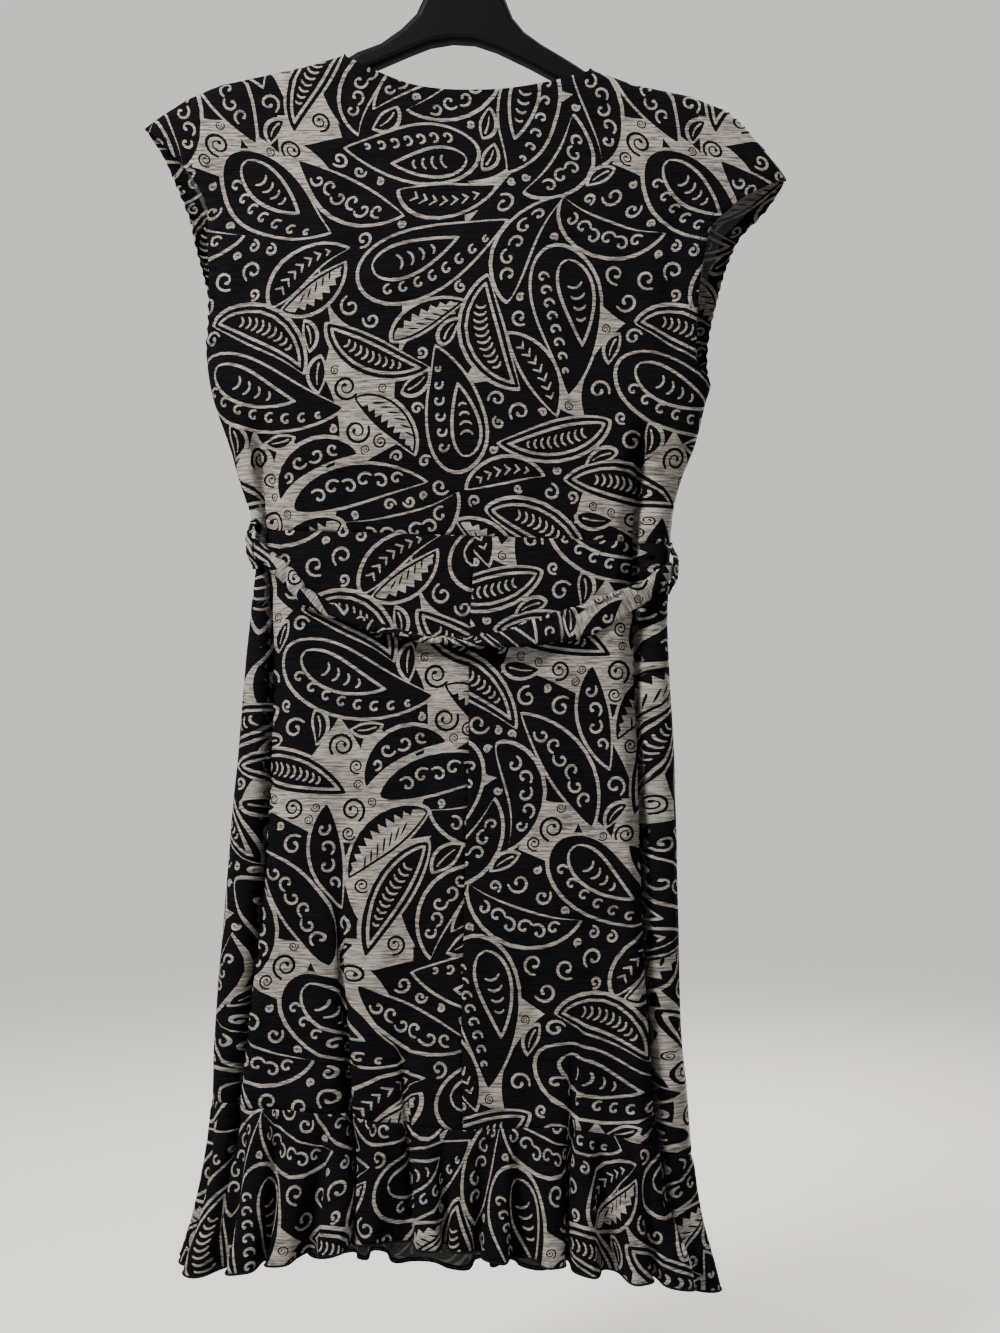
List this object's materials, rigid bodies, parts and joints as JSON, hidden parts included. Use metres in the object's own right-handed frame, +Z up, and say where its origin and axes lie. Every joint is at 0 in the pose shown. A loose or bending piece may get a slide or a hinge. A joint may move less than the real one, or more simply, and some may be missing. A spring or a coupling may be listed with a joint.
{
  "type": "wrap dress on a hanger",
  "caption": "Knee-length jersey wrap dress with cap sleeves, a ruffled hem and a tied belt, hanging open and flat on a moulded hanger with a wire hook.",
  "frame": {"origin": "inside top of the hanger's hook, where a rail or door hook carries it", "axes": "+Z up, +X to the wearer's right, -Y out of the dress's back and +Y out of its crossed fronts"},
  "size_m": [0.5252, 0.1245, 1.1567],
  "materials": {
    "printed_jersey": "matte knit jersey, black leaf and scroll print over light heather grey",
    "belt_jersey": "the same printed jersey, folded and rolled",
    "hanger_plastic": "satin black moulded plastic",
    "hook_steel": "bright plated wire"
  },
  "bodies": {
    "root": {"back_bodice": "printed_jersey", "front_bodice_over": "printed_jersey", "front_bodice_under": "printed_jersey", "skirt_back_left": "printed_jersey", "skirt_back_right": "printed_jersey", "skirt_front_over": "printed_jersey", "skirt_front_under": "printed_jersey", "ruffle_back": "printed_jersey", "ruffle_front_over": "printed_jersey", "ruffle_front_under": "printed_jersey", "belt": "belt_jersey", "belt_knot": "belt_jersey", "belt_tail_long": "belt_jersey", "belt_tail_short": "belt_jersey", "belt_loop_left": "printed_jersey", "belt_loop_right": "printed_jersey", "hanger_body": "hanger_plastic", "hanger_hook": "hook_steel"}
  },
  "joints": []
}
